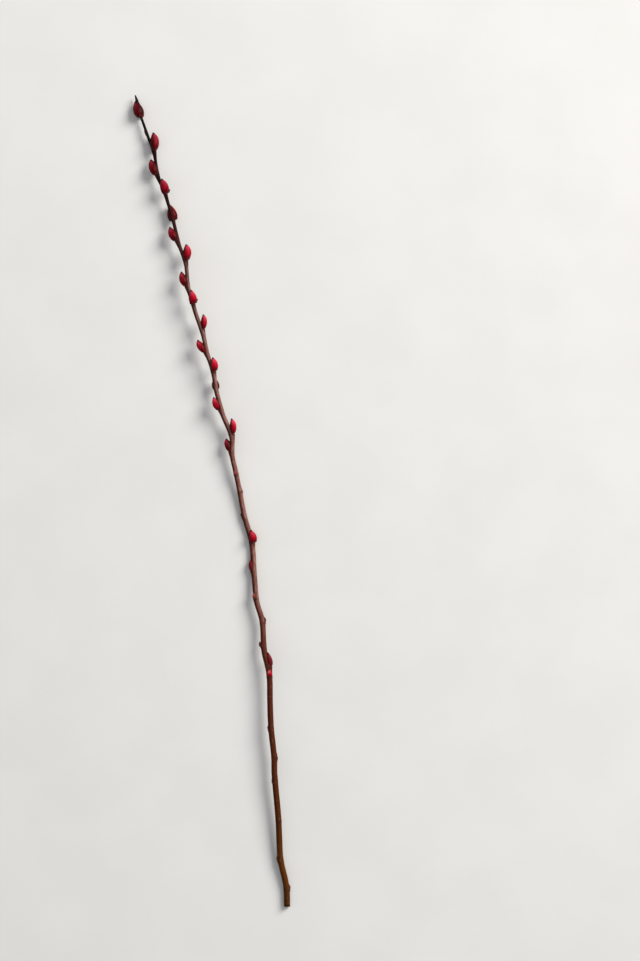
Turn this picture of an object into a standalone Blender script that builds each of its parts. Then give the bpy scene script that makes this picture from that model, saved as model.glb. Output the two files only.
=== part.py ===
"""A cut willow twig with red winter buds, lying on a flat surface.

The twig grew as one piece, so it is one solid: a slender, slightly zigzag stem that tapers from its
cut end to its tip, a hood-shaped bud scale over every bud, small dormant buds on the older wood, and
the dry end of the shoot. It lies bowed, on three low places round its weight: the underside of the
stem near the cut end, the underside of the stem at the middle of the bow, and the end bud.

Blender units are metres with +Z up. The twig runs along +Y from its cut end, +X is to its right as
seen from above, and the origin is at the middle of its box on the surface. All sizes below are in
millimetres and degrees.
"""
import math
from typing import NamedTuple

import bmesh
import bpy
import numpy as np
from mathutils import Vector

MM = 0.001

# The whole twig
STEM_LENGTH = 878.0
CUT_DIAMETER = 6.6
TIP_DIAMETER = 2.8
CUT_END_X = -18.396
CUT_END_Y = -449.98

# The cut across the foot of the stem
CUT_SLANT = 12.0
CUT_EDGE_ROUNDING = 0.3

# The middle line of the stem: how far along from the cut end, how far aside to the right, and how high
ROUTE = (
    (0.0, 0.0, 3.05),
    (22.5, 3.2, 3.4),
    (52.5, 2.5, 5.2),
    (74.0, 5.2, 7.0),
    (95.0, 8.2, 8.4),
    (128.0, 11.5, 10.0),
    (147.0, 13.5, 10.7),
    (164.0, 16.3, 11.2),
    (196.0, 18.9, 11.6),
    (222.0, 22.7, 11.6),
    (254.0, 27.7, 11.6),
    (280.0, 27.0, 10.4),
    (312.0, 30.7, 8.9),
    (334.0, 28.7, 7.8),
    (362.0, 31.2, 5.2),
    (396.0, 34.9, 2.7),
    (428.0, 32.5, 3.5),
    (457.0, 32.5, 5.6),
    (478.0, 32.1, 7.7),
    (495.0, 31.8, 8.9),
    (515.0, 34.8, 10.2),
    (540.0, 30.1, 11.2),
    (566.0, 27.9, 11.6),
    (587.0, 28.2, 12.7),
    (611.0, 25.5, 13.0),
    (629.0, 24.9, 12.9),
    (656.0, 21.1, 13.7),
    (683.0, 18.7, 13.0),
    (708.0, 20.4, 12.3),
    (732.0, 17.2, 11.0),
    (756.0, 15.7, 9.6),
    (783.0, 12.9, 9.8),
    (807.0, 8.8, 8.6),
    (833.0, 8.2, 7.5),
    (860.0, 4.3, 6.2),
    (878.0, 1.4, 5.5),
)


class Bud(NamedTuple):
    """A bud on the stem: where its foot is, which way round it faces, and its size."""

    along: float
    around: float
    length: float
    stand_off: float
    plump: float


# Full buds in their red scales, from the tip down. Around is 0 to the right, 90 up and 180 to the left.
BUDS = (
    Bud(877.0, 196.0, 18.0, 1.6, 1.08),
    Bud(837.5, 2.0, 18.4, 6.7, 1.02),
    Bud(811.0, 182.0, 17.8, 4.6, 1.00),
    Bud(788.5, 52.0, 15.8, 5.0, 1.06),
    Bud(759.2, 280.0, 17.4, 5.0, 1.06),
    Bud(736.5, 174.0, 16.0, 5.2, 1.04),
    Bud(713.0, 16.0, 15.8, 7.8, 1.08),
    Bud(685.5, 178.0, 15.8, 5.9, 1.00),
    Bud(665.0, 62.0, 14.6, 5.0, 1.06),
    Bud(636.0, 4.0, 14.6, 7.4, 0.92),
    Bud(611.5, 170.0, 14.4, 7.0, 1.04),
    Bud(589.2, 40.0, 13.9, 5.8, 1.08),
    Bud(569.5, 270.0, 12.0, 4.0, 1.16),
    Bud(547.3, 148.0, 14.2, 5.4, 1.00),
    Bud(518.5, 14.0, 14.8, 7.5, 0.93),
    Bud(500.5, 196.0, 14.0, 6.4, 0.98),
    Bud(398.0, 46.0, 13.6, 4.1, 1.12),
    Bud(368.5, 168.0, 11.2, 2.9, 0.88),
    Bud(262.5, 14.0, 15.2, 3.9, 0.70),
    Bud(251.4, 80.0, 8.2, 3.0, 1.16),
)

# Small dormant buds on the older wood, low and half sunk in the bark
SMALL_BUDS = (
    Bud(857.0, 168.0, 5.4, 0.9, 0.90),
    Bud(473.8, 96.0, 5.4, 2.3, 1.05),
    Bud(455.0, 8.0, 5.2, 1.7, 0.90),
    Bud(427.0, 176.0, 5.2, 2.7, 0.82),
    Bud(336.4, 112.0, 6.4, 2.6, 1.10),
    Bud(310.0, 6.0, 5.6, 2.4, 0.95),
    Bud(283.5, 184.0, 5.2, 3.2, 0.82),
    Bud(194.5, 174.0, 5.2, 2.8, 0.86),
    Bud(161.0, 10.0, 8.0, 1.9, 0.88),
    Bud(136.5, 196.0, 5.0, 2.6, 0.86),
    Bud(95.0, 75.0, 5.2, 2.7, 1.00),
    Bud(49.4, 182.0, 6.0, 2.3, 0.88),
    Bud(18.4, 4.0, 5.6, 2.9, 0.88),
)

# A bud's width and thickness as shares of its length, and how they run from its foot to its tip
FULL_WIDTH = 0.59
FULL_THICKNESS = 0.57
BUD_RINGS = (-0.07, 0.0, 0.09, 0.22, 0.4, 0.58, 0.74, 0.86, 0.94, 1.0)
SMALL_BUD_RINGS = (-0.07, 0.09, 0.3, 0.58, 0.82, 1.0)
WIDTH_PROFILE = ((-0.07, 0.3), (0.0, 0.71), (0.08, 0.88), (0.2, 1.0), (0.35, 0.99), (0.5, 0.9),
                 (0.64, 0.74), (0.76, 0.56), (0.86, 0.38), (0.93, 0.23), (1.0, 0.08))
THICKNESS_PROFILE = ((-0.07, 0.25), (0.0, 0.5), (0.09, 0.7), (0.2, 0.88), (0.34, 1.0), (0.46, 0.98),
                     (0.6, 0.87), (0.73, 0.68), (0.84, 0.47), (0.92, 0.28), (1.0, 0.08))

# How a bud swings out from its foot on the stem to its tip
STAND_OFF_CURVE = 1.35
FOOT_EXTRA = 0.6

# The cushion of bark that carries a bud, raised on its side of the stem
CUSHION_HEIGHT = 0.11
CUSHION_BELOW = 0.42
CUSHION_ABOVE = 0.3
CUSHION_SPREAD = 48.0
CUSHION_REACHES = 3.0

# The dry end of the shoot beside the end bud: along, aside, height and radius
DRY_TIP = (
    (882.0, 2.2, 5.6, 1.7),
    (888.0, 1.9, 5.7, 1.8),
    (893.0, 0.9, 5.8, 1.6),
    (897.0, 0.3, 5.8, 1.05),
    (899.7, 0.04, 5.7, 0.6),
    (900.7, 0.0, 5.7, 0.35),
)

# How finely the solid is made
FRAME_REACH = 1.5
STEM_SIDES = 12
STEM_STEP = 10.0
NODE_STEPS = (-0.5, -0.22, 0.0, 0.35)
FIRST_RING = 4.0
NODE_RING_GAP = 1.6
EVEN_RING_GAP = 4.5
BUD_SIDES = 10
SMALL_BUD_SIDES = 8
DRY_TIP_SIDES = 8
SHARP_ANGLE = 50.0
SLIVER = 0.004

# Finishes
BARK_COLOUR = (0.105, 0.036, 0.024, 1.0)
BARK_ROUGHNESS = 0.55
BUD_COLOUR = (0.36, 0.008, 0.02, 1.0)
BUD_ROUGHNESS = 0.32


def smooth_through(points, value):
    """A smooth curve through (position, height) points, read at a position."""
    places = [point[0] for point in points]
    heights = [point[1] for point in points]
    value = min(max(value, places[0]), places[-1])
    right = min(max(int(np.searchsorted(places, value)), 1), len(places) - 1)
    left = right - 1

    def slope(index):
        before = max(index - 1, 0)
        after = min(index + 1, len(places) - 1)
        return (heights[after] - heights[before]) / (places[after] - places[before])

    span = places[right] - places[left]
    t = (value - places[left]) / span
    return (
        heights[left] * (2 * t**3 - 3 * t**2 + 1)
        + slope(left) * span * (t**3 - 2 * t**2 + t)
        + heights[right] * (3 * t**2 - 2 * t**3)
        + slope(right) * span * (t**3 - t**2)
    )


ASIDE = tuple((along, aside) for along, aside, _ in ROUTE)
HEIGHT = tuple((along, height) for along, _, height in ROUTE)


def stem_middle(along):
    """The middle of the stem, in millimetres from the middle of the cut end."""
    return Vector((smooth_through(ASIDE, along), along, smooth_through(HEIGHT, along)))


def stem_frame(along):
    """The stem's own right, forward and up directions at a place along it."""
    inner = min(max(along, FRAME_REACH), STEM_LENGTH - FRAME_REACH)
    forward = (stem_middle(inner + FRAME_REACH) - stem_middle(inner - FRAME_REACH)).normalized()
    right = forward.cross(Vector((0.0, 0.0, 1.0))).normalized()
    return right, forward, right.cross(forward)


def plain_radius(along):
    """The stem's radius without its cushions."""
    share = min(max(along / STEM_LENGTH, 0.0), 1.0)
    return 0.5 * (TIP_DIAMETER + (CUT_DIAMETER - TIP_DIAMETER) * (1.0 - share**2))


def cushion(along, around):
    """How far the bark is raised under the buds at a place on the stem, in millimetres."""
    raised = 0.0
    for bud in BUDS[1:] + SMALL_BUDS:
        distance = along - bud.along
        reach = bud.length * (CUSHION_BELOW if distance < 0.0 else CUSHION_ABOVE)
        if abs(distance) < CUSHION_REACHES * reach:
            turn = (around - bud.around + 180.0) % 360.0 - 180.0
            lift = bud.length * CUSHION_HEIGHT * math.exp(-((turn / CUSHION_SPREAD) ** 2))
            raised += lift * math.exp(-((distance / reach) ** 2))
    return raised


def placed(point):
    """A point in millimetres from the cut end, as Blender coordinates from the origin."""
    return (point + Vector((CUT_END_X, CUT_END_Y, 0.0))) * MM


def skin_rings(shape, rings):
    """Joins rings of points into one closed tube with flat ends."""
    loops = [[shape.verts.new(placed(point)) for point in ring] for ring in rings]
    for near, far in zip(loops, loops[1:]):
        for index in range(len(near)):
            following = (index + 1) % len(near)
            shape.faces.new((near[index], near[following], far[following], far[index]))
    shape.faces.new(list(reversed(loops[0])))
    shape.faces.new(loops[-1])
    bmesh.ops.recalc_face_normals(shape, faces=shape.faces)


def stem_places():
    """Where the stem's rings are: even steps, with closer ones at the buds."""
    at_buds = [bud.along + bud.length * step for bud in BUDS[1:] + SMALL_BUDS for step in NODE_STEPS]
    evenly = [float(place) for place in np.arange(STEM_STEP, STEM_LENGTH, STEM_STEP)]
    kept = [FIRST_RING, STEM_LENGTH]
    for places, gap in ((at_buds, NODE_RING_GAP), (evenly, EVEN_RING_GAP)):
        for place in sorted(places):
            if min(abs(place - other) for other in kept) > gap:
                kept.append(place)
    return sorted(kept)


def stem_ring(along, shrink=0.0, slant=0.0):
    """One ring of the stem, drawn in by shrink and leaning back by slant."""
    middle = stem_middle(along)
    right, forward, up = stem_frame(along)
    ring = []
    for index in range(STEM_SIDES):
        around = 360.0 * index / STEM_SIDES
        out = right * math.cos(math.radians(around)) + up * math.sin(math.radians(around))
        radius = plain_radius(along) + cushion(along, around) - shrink
        lean = math.tan(math.radians(slant)) * radius * math.sin(math.radians(around))
        ring.append(middle + out * radius + forward * lean)
    return ring


def stem_mesh(shape):
    """The stem from its slanted cut to its tip inside the end bud."""
    rings = [
        stem_ring(0.0, shrink=CUT_EDGE_ROUNDING, slant=CUT_SLANT),
        stem_ring(CUT_EDGE_ROUNDING, slant=CUT_SLANT),
    ]
    rings += [stem_ring(place) for place in stem_places()]
    skin_rings(shape, rings)


def bud_mesh(shape, bud, shares, sides):
    """A hood-shaped bud: broadest near its foot and pointed at its tip."""
    foot = min(plain_radius(bud.along) + FOOT_EXTRA, bud.stand_off)
    turn = math.radians(bud.around)
    half_length = 0.5 * bud.length * bud.plump
    rings = []
    for share in shares:
        along = bud.along + share * bud.length
        right, forward, up = stem_frame(min(along, STEM_LENGTH))
        out = right * math.cos(turn) + up * math.sin(turn)
        side = forward.cross(out)
        swing = 1.0 - (1.0 - max(share, 0.0)) ** STAND_OFF_CURVE
        middle = stem_middle(along) + out * (foot + (bud.stand_off - foot) * swing)
        half_width = FULL_WIDTH * half_length * smooth_through(WIDTH_PROFILE, share)
        half_thickness = FULL_THICKNESS * half_length * smooth_through(THICKNESS_PROFILE, share)
        ring = []
        for index in range(sides):
            angle = 2.0 * math.pi * index / sides
            ring.append(middle + side * (half_width * math.cos(angle)) + out * (half_thickness * math.sin(angle)))
        rings.append(ring)
    skin_rings(shape, rings)


def dry_tip_mesh(shape):
    """The thin dry end of the shoot, which stands past the end bud."""
    rings = []
    for along, aside, height, radius in DRY_TIP:
        ring = []
        for index in range(DRY_TIP_SIDES):
            angle = 2.0 * math.pi * index / DRY_TIP_SIDES
            ring.append(Vector((aside + radius * math.cos(angle), along, height + radius * math.sin(angle))))
        rings.append(ring)
    skin_rings(shape, rings)


def plain_material(name, colour, roughness):
    """A Principled material of one colour."""
    material = bpy.data.materials.new(name)
    material.use_nodes = True
    shader = material.node_tree.nodes["Principled BSDF"]
    shader.inputs["Base Color"].default_value = colour
    shader.inputs["Roughness"].default_value = roughness
    shader.inputs["Metallic"].default_value = 0.0
    material.diffuse_color = colour
    return material


def new_object(name, materials, material_index, collection, make, *values):
    """A mesh object whose shape a function makes."""
    shape = bmesh.new()
    make(shape, *values)
    for face in shape.faces:
        face.material_index = material_index
    mesh = bpy.data.meshes.new(name)
    shape.to_mesh(mesh)
    shape.free()
    for material in materials:
        mesh.materials.append(material)
    made = bpy.data.objects.new(name, mesh)
    collection.objects.link(made)
    return made


def fuse(stem, grown):
    """Joins everything in a collection to the stem, as one solid."""
    union = stem.modifiers.new("grown together", "BOOLEAN")
    union.operation = "UNION"
    union.solver = "EXACT"
    union.operand_type = "COLLECTION"
    union.collection = grown
    bpy.context.view_layer.update()
    evaluated = stem.evaluated_get(bpy.context.evaluated_depsgraph_get())
    whole = bpy.data.meshes.new_from_object(evaluated)
    stem.modifiers.remove(union)
    old = stem.data
    stem.data = whole
    bpy.data.meshes.remove(old)
    whole.name = stem.name
    for part in list(grown.objects):
        bpy.data.objects.remove(part)
    bpy.data.collections.remove(grown)


def flatten_where_it_rests(twig):
    """Cuts away what dips below the surface, which leaves the small flat places that it rests on."""
    shape = bmesh.new()
    shape.from_mesh(twig.data)
    everything = list(shape.verts) + list(shape.edges) + list(shape.faces)
    bmesh.ops.bisect_plane(
        shape, geom=everything, dist=SLIVER * MM, plane_co=(0.0, 0.0, 0.0), plane_no=(0.0, 0.0, -1.0),
        clear_outer=True,
    )
    open_edges = [edge for edge in shape.edges if edge.is_boundary]
    bmesh.ops.holes_fill(shape, edges=open_edges, sides=0)
    bmesh.ops.dissolve_degenerate(shape, dist=SLIVER * MM, edges=shape.edges)
    bmesh.ops.triangulate(shape, faces=shape.faces)
    bmesh.ops.recalc_face_normals(shape, faces=shape.faces)
    shape.to_mesh(twig.data)
    shape.free()


def build_twig():
    """Makes the one solid of the twig."""
    bark = plain_material("bark", BARK_COLOUR, BARK_ROUGHNESS)
    scale = plain_material("bud scale", BUD_COLOUR, BUD_ROUGHNESS)
    materials = (bark, scale)
    grown = bpy.data.collections.new("grown on the stem")
    bpy.context.scene.collection.children.link(grown)
    twig = new_object("willow_twig", materials, 0, bpy.context.scene.collection, stem_mesh)
    for number, bud in enumerate(BUDS):
        new_object(f"bud_{number}", materials, 1, grown, bud_mesh, bud, BUD_RINGS, BUD_SIDES)
    for number, bud in enumerate(SMALL_BUDS):
        new_object(
            f"small_bud_{number}", materials, 0, grown, bud_mesh, bud, SMALL_BUD_RINGS, SMALL_BUD_SIDES
        )
    new_object("dry_tip", materials, 0, grown, dry_tip_mesh)
    fuse(twig, grown)
    flatten_where_it_rests(twig)
    twig.data.shade_smooth()
    twig.data.set_sharp_from_angle(angle=math.radians(SHARP_ANGLE))
    return twig


for old_object in list(bpy.data.objects):
    bpy.data.objects.remove(old_object, do_unlink=True)

build_twig()
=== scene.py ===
"""Dresses the willow twig: its bark, red bud scales, dormant buds, cut wood, dry tip and a plain studio.

Lengths are in millimetres and turns in degrees, unless a name says otherwise. Places on the stem are
measured from the middle of its cut end: along it towards its tip, and around it, with 0 to its right as
seen from above, 90 up and 180 to its left.
"""
import logging
import math
from dataclasses import dataclass, field
from enum import Enum

import bpy
import numpy as np
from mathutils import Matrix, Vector


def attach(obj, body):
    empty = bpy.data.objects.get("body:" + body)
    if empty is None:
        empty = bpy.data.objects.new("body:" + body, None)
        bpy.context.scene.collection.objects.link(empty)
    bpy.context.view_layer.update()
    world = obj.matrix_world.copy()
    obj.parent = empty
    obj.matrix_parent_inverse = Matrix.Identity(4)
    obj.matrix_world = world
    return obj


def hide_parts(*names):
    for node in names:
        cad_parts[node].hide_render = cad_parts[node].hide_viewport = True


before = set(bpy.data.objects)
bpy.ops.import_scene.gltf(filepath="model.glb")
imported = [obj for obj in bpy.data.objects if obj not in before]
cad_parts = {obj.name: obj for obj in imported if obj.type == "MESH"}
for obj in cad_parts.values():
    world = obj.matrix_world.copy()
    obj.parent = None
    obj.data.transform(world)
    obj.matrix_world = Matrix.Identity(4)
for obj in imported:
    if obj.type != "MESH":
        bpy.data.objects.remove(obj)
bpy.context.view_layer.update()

TWIG_NODE = "willow_twig"
BODY = "root"
MM = 0.001
LOG = logging.getLogger("willow twig")

Array = np.ndarray
Material = bpy.types.Material
Piece = bpy.types.Object
Socket = bpy.types.NodeSocket
Pair = tuple[float, float]
Colour = tuple[float, float, float]
# Masks by name, each one number, or numbers or vectors for a tube's points
Masks = dict[str, Array | float]

# The middle line of the stem: how far along from the cut end, how far aside to the right, and how high
STEM_ROUTE = (
    (0.0, 0.0, 3.05),
    (22.5, 3.2, 3.4),
    (52.5, 2.5, 5.2),
    (74.0, 5.2, 7.0),
    (95.0, 8.2, 8.4),
    (128.0, 11.5, 10.0),
    (147.0, 13.5, 10.7),
    (164.0, 16.3, 11.2),
    (196.0, 18.9, 11.6),
    (222.0, 22.7, 11.6),
    (254.0, 27.7, 11.6),
    (280.0, 27.0, 10.4),
    (312.0, 30.7, 8.9),
    (334.0, 28.7, 7.8),
    (362.0, 31.2, 5.2),
    (396.0, 34.9, 2.7),
    (428.0, 32.5, 3.5),
    (457.0, 32.5, 5.6),
    (478.0, 32.1, 7.7),
    (495.0, 31.8, 8.9),
    (515.0, 34.8, 10.2),
    (540.0, 30.1, 11.2),
    (566.0, 27.9, 11.6),
    (587.0, 28.2, 12.7),
    (611.0, 25.5, 13.0),
    (629.0, 24.9, 12.9),
    (656.0, 21.1, 13.7),
    (683.0, 18.7, 13.0),
    (708.0, 20.4, 12.3),
    (732.0, 17.2, 11.0),
    (756.0, 15.7, 9.6),
    (783.0, 12.9, 9.8),
    (807.0, 8.8, 8.6),
    (833.0, 8.2, 7.5),
    (860.0, 4.3, 6.2),
    (878.0, 1.4, 5.5),
)


class BudKind(Enum):
    """What state a bud is in, which settles its finish."""

    GLOSSY = "full, in a bright red scale"
    DULL = "shrunken, in a dull brownish red scale"
    # Its pale spot is a painted highlight
    SWOLLEN = "small and round, pale where its scale is rubbed"
    DORMANT = "shut, in a scale the colour of the bark"
    RUBBED = "dormant, with a fresh pink break"


@dataclass(frozen=True)
class Bud:
    """A bud on the stem: where its foot is, which way round it faces, its size and its state."""

    along: float
    around: float
    length: float
    stand_off: float
    plump: float
    kind: BudKind = BudKind.GLOSSY
    # How bright it is, where a lower tone lays near black over it, partly painted shade, darkest near the tip
    # where the light is dimmer, and partly the darker young buds there; and its foot's own distance from the
    # stem's middle where it has one
    tone: float = 1.0
    foot: float | None = None
    # Corners of the scale that stand out: the side, how far along the bud, and the height
    ears: tuple[tuple[int, float, float], ...] = ()


# Full buds in their red scales, from the tip down. The first is the end bud.
RED_BUDS = (
    Bud(876.3, 196.0, 18.6, 2.7, 1.08, tone=0.6, foot=0.0),
    Bud(837.5, 2.0, 18.4, 6.7, 1.02, tone=0.6),
    Bud(811.0, 182.0, 17.8, 4.6, 1.00, tone=0.62),
    Bud(788.5, 52.0, 15.8, 5.0, 1.06, tone=0.68, ears=((1, 0.1, 0.38),)),
    Bud(759.2, 280.0, 17.4, 5.0, 1.06, tone=1.04),
    Bud(736.5, 174.0, 16.0, 5.2, 1.06, tone=0.76),
    Bud(713.0, 16.0, 15.8, 7.6, 1.14, tone=0.92),
    Bud(685.5, 178.0, 15.8, 5.9, 1.00, tone=0.82),
    Bud(665.0, 62.0, 14.6, 5.0, 1.06, tone=1.0, ears=((1, 0.16, 0.34), (-1, 0.03, 0.2))),
    Bud(636.0, 4.0, 14.6, 7.4, 0.92, tone=1.02),
    Bud(611.5, 170.0, 14.4, 7.0, 1.04, tone=1.08),
    Bud(589.2, 40.0, 13.9, 5.8, 1.08, tone=1.12, ears=((1, 0.32, 0.36),)),
    Bud(569.5, 270.0, 12.0, 4.0, 1.16, tone=0.74),
    Bud(547.3, 148.0, 14.2, 5.4, 1.00, tone=1.1),
    Bud(518.5, 14.0, 14.8, 7.5, 0.93, tone=1.15),
    Bud(500.5, 196.0, 14.0, 6.4, 0.98, tone=0.86),
    Bud(398.0, 46.0, 13.6, 4.1, 1.12, tone=0.94),
    Bud(368.5, 168.0, 11.2, 2.9, 0.88, BudKind.DULL),
    Bud(262.5, 14.0, 15.2, 3.9, 0.70, BudKind.DULL, 0.9),
    Bud(251.4, 80.0, 8.2, 3.0, 1.16, BudKind.SWOLLEN, 0.95),
)

# Small dormant buds, low and half sunk in the bark
DORMANT_BUDS = (
    Bud(857.0, 168.0, 5.4, 0.9, 0.90, BudKind.DORMANT),
    Bud(473.8, 96.0, 5.4, 2.3, 1.05, BudKind.RUBBED),
    Bud(455.0, 8.0, 5.2, 1.7, 0.90, BudKind.DORMANT),
    Bud(427.0, 176.0, 5.2, 2.7, 0.82, BudKind.DORMANT),
    Bud(337.2, 128.0, 6.4, 2.9, 1.10, BudKind.RUBBED),
    Bud(310.4, 6.0, 5.8, 2.9, 0.98, BudKind.DORMANT),
    Bud(284.6, 184.0, 5.6, 3.9, 0.94, BudKind.DORMANT),
    Bud(194.5, 174.0, 5.2, 2.8, 0.86, BudKind.DORMANT),
    Bud(163.5, 10.0, 7.4, 2.0, 0.88, BudKind.DORMANT),
    Bud(138.2, 196.0, 5.0, 2.6, 0.86, BudKind.DORMANT),
    Bud(95.0, 75.0, 5.2, 2.7, 1.00, BudKind.DORMANT),
    Bud(51.6, 182.0, 6.0, 2.8, 0.92, BudKind.DORMANT),
    Bud(18.9, 4.0, 5.6, 3.1, 0.90, BudKind.DORMANT),
)
SEATED_BUDS = RED_BUDS[1:] + DORMANT_BUDS


# Curves and masks

# Random phases are drawn from about a whole turn, in radians
PHASES = 6.3


def sine(turns: Array) -> Array:
    """The sine of turns in degrees."""
    return np.sin(np.radians(turns))


def cosine(turns: Array) -> Array:
    """The cosine of turns in degrees."""
    return np.cos(np.radians(turns))


def rise(low: float, high: float, values: Array) -> Array:
    """Goes smoothly from 0 at low to 1 at high."""
    share = np.clip((values - low) / (high - low), 0.0, 1.0)
    return share * share * (3.0 - 2.0 * share)


def hump(values: Array, centre: float | Array, reach: float | Array) -> Array:
    """A smooth hump of height 1 round a centre, which dies away over a reach."""
    return np.exp(-(((values - centre) / reach) ** 2))


def turn_from(centre: float, around: Array) -> Array:
    """The turn from a centre to each place around, from -180 to 180."""
    return (around - centre + 180.0) % 360.0 - 180.0


@dataclass(frozen=True)
class SmoothCurve:
    """A smooth curve through given (position, value) points."""

    points: tuple[Pair, ...]

    def at(self, positions: Array) -> Array:
        """Reads the curve.

        Args:
            positions: Where to read it. Past either end it keeps its end value.

        Returns:
            The curve's value at each position.
        """
        places, values = np.array(self.points, float).T
        slopes = np.empty_like(values)
        slopes[1:-1] = (values[2:] - values[:-2]) / (places[2:] - places[:-2])
        slopes[0] = (values[1] - values[0]) / (places[1] - places[0])
        slopes[-1] = (values[-1] - values[-2]) / (places[-1] - places[-2])
        positions = np.clip(positions, places[0], places[-1])
        right = np.clip(np.searchsorted(places, positions), 1, len(places) - 1)
        left = right - 1
        span = places[right] - places[left]
        t = (positions - places[left]) / span
        return (
            values[left] * (2 * t**3 - 3 * t**2 + 1)
            + slopes[left] * span * (t**3 - 2 * t**2 + t)
            + values[right] * (3 * t**2 - 2 * t**3)
            + slopes[right] * span * (t**3 - t**2)
        )


# The stem's line, which every piece is placed by

@dataclass(frozen=True)
class StemLine:
    """The middle line of the stem, with its plain thickness."""

    route: tuple[tuple[float, float, float], ...] = STEM_ROUTE
    length: float = 878.0
    cut_diameter: float = 6.6
    tip_diameter: float = 2.8
    cut_end: Pair = (-18.396, -449.98)
    cut_slant: float = 12.0
    slant_reach: float = 4.0
    frame_reach: float = 1.5

    def middle(self, along: Array) -> Array:
        """The middle of the stem at places along it."""
        places, asides, heights = zip(*self.route)
        aside, height = (SmoothCurve(tuple(zip(places, values))).at(along) for values in (asides, heights))
        return np.stack((aside, along, height), axis=-1)

    def frames(self, along: Array) -> tuple[Array, Array, Array]:
        """The stem's own directions.

        Args:
            along: Places along the stem.

        Returns:
            Its right, forward and up directions at each place.
        """
        inner = np.clip(along, self.frame_reach, self.length - self.frame_reach)
        forward = self.middle(inner + self.frame_reach) - self.middle(inner - self.frame_reach)
        forward /= np.linalg.norm(forward, axis=-1, keepdims=True)
        right = np.cross(forward, (0.0, 0.0, 1.0))
        right /= np.linalg.norm(right, axis=-1, keepdims=True)
        return right, forward, np.cross(right, forward)

    def radius(self, along: Array | float) -> Array:
        """The stem's radius without its cushions."""
        share = np.clip(along / self.length, 0.0, 1.0)
        return 0.5 * (self.tip_diameter + (self.cut_diameter - self.tip_diameter) * (1.0 - share**2))

    def lean(self, along: Array, above: Array) -> Array:
        """How far the slanted cut leans forward, by place along the stem and height above its middle."""
        near = np.clip(1.0 - along / self.slant_reach, 0.0, 1.0)
        return math.tan(math.radians(self.cut_slant)) * above * near

    def placed(self, points: Array) -> Array:
        """Points measured from the cut end, as Blender coordinates from the twig's origin."""
        return (points + np.array((*self.cut_end, 0.0))) * MM


# Meshes

def round_way(sides: int) -> Array:
    """Even places around a ring, in one row."""
    return np.arange(sides)[None, :] * 360.0 / sides


def together(*values: Array) -> Array:
    """Columns, rows and grids of numbers as one grid of vectors."""
    return np.stack(np.broadcast_arrays(*values), axis=-1)


def swept(middle: Array, *moves: tuple[Array, Array]) -> Array:
    """Rings of points along a line.

    Args:
        middle: Each ring's middle.
        moves: Each ring's directions, one after another, with how far each point goes that way.

    Returns:
        The points, ring by ring, none of them below the surface that the twig lies on.
    """
    points = middle[:, None, :]
    for way, reach in moves:
        points = points + way[:, None, :] * reach[..., None]
    points[..., 2] = np.maximum(points[..., 2], 0.0)
    return points


def put(name: str, data: bpy.types.ID) -> Piece:
    """Puts a new object into the scene."""
    made = bpy.data.objects.new(name, data)
    bpy.context.scene.collection.objects.link(made)
    return made


def closed_tube(name: str, rings: Array, masks: Masks, sharp: float) -> Piece:
    """Makes a closed mesh of rings, with a fan of faces over each end.

    Args:
        name: The piece's name.
        rings: Points in metres, ring by ring.
        masks: Values or vectors for the points, kept as attributes of these names.
        sharp: The angle between faces past which an edge stays sharp.

    Returns:
        The new piece.
    """
    count, sides, _ = rings.shape
    first_pole = count * sides
    last_pole = first_pole + 1
    points = np.concatenate((rings.reshape(-1, 3), rings[[0, -1]].mean(axis=1)))
    ring, side = np.meshgrid(np.arange(count - 1), np.arange(sides), indexing="ij")
    here = ring * sides + side
    beside = ring * sides + (side + 1) % sides
    walls = np.stack((here, here + sides, beside + sides, beside), axis=-1).reshape(-1, 4)
    last_ring = first_pole - sides
    fans = [(first_pole, at, (at + 1) % sides) for at in range(sides)]
    fans += [(last_pole, last_ring + (at + 1) % sides, last_ring + at) for at in range(sides)]
    mesh = bpy.data.meshes.new(name)
    mesh.from_pydata(points.tolist(), [], walls.tolist() + fans)
    for mask, values in masks.items():
        keep_mask(mesh, mask, values, (count, sides))
    mesh.shade_smooth()
    mesh.set_sharp_from_angle(angle=math.radians(sharp))
    return put(name, mesh)


def keep_mask(mesh: bpy.types.Mesh, name: str, values: Array | float, shape: tuple[int, int]) -> None:
    """Keeps a number or a vector for each point of a closed tube.

    Args:
        mesh: The tube's mesh, whose last two points are the middles of its ends.
        name: The attribute's name.
        values: One number, numbers in a row, a column or a grid, or a grid of vectors.
        shape: How many rings the tube has, and how many sides.
    """
    is_vector = np.ndim(values) == 3
    grid = np.broadcast_to(values, (*shape, 3) if is_vector else shape)
    flat = grid.reshape(-1, 3) if is_vector else grid.reshape(-1)
    whole = np.concatenate((flat, grid[[0, -1]].mean(axis=1)))
    attribute = mesh.attributes.new(name, "FLOAT_VECTOR" if is_vector else "FLOAT", "POINT")
    attribute.data.foreach_set("vector" if is_vector else "value", whole.astype(np.float32).ravel())


def dress(piece: Piece, material: Material) -> Piece:
    """Gives a piece its material and ties it to the twig's body.

    Args:
        piece: The piece.
        material: Its finish.

    Returns:
        The piece.
    """
    piece.data.materials.append(material)
    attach(piece, BODY)
    LOG.info("%s: %d faces", piece.name, len(piece.data.polygons))
    return piece


# Nodes

class Blend(Enum):
    """How one colour is laid over another."""

    PLAIN = "MIX"
    TINT = "MULTIPLY"


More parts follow.
